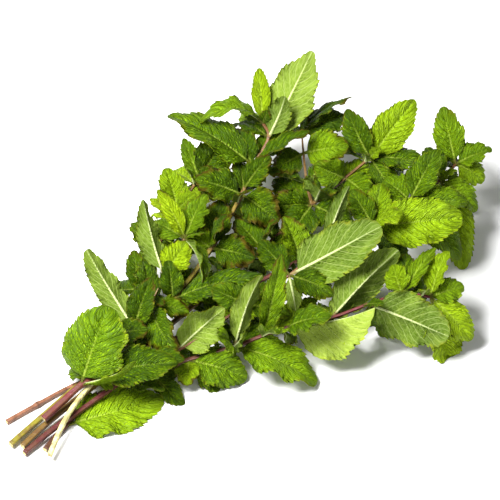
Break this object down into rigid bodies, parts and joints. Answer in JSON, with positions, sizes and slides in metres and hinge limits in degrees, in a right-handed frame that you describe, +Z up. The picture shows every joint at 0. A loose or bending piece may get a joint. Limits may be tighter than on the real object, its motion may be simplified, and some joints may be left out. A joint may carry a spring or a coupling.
{
  "type": "bunch of mint sprigs",
  "caption": "Gathered bunch of cut mint lying on a flat surface, bare square stems at one end and toothed, opposite leaves fanned out at the other.",
  "frame": {"origin": "on the surface, under the lowest stem where the stems are gathered", "axes": "+X along the bunch towards the leafy tips, +Z up from the surface it lies on"},
  "size_m": [0.343, 0.2182, 0.0842],
  "materials": {
    "leaf": "fresh leaf, satin above and matt below"
  },
  "bodies": {
    "root": {"pale_stem": "leaf", "purple_stem": "leaf", "olive_stem": "leaf", "brown_stem": "leaf", "dark_purple_stem": "leaf", "thin_stem": "leaf", "low_stem": "leaf"}
  },
  "joints": []
}
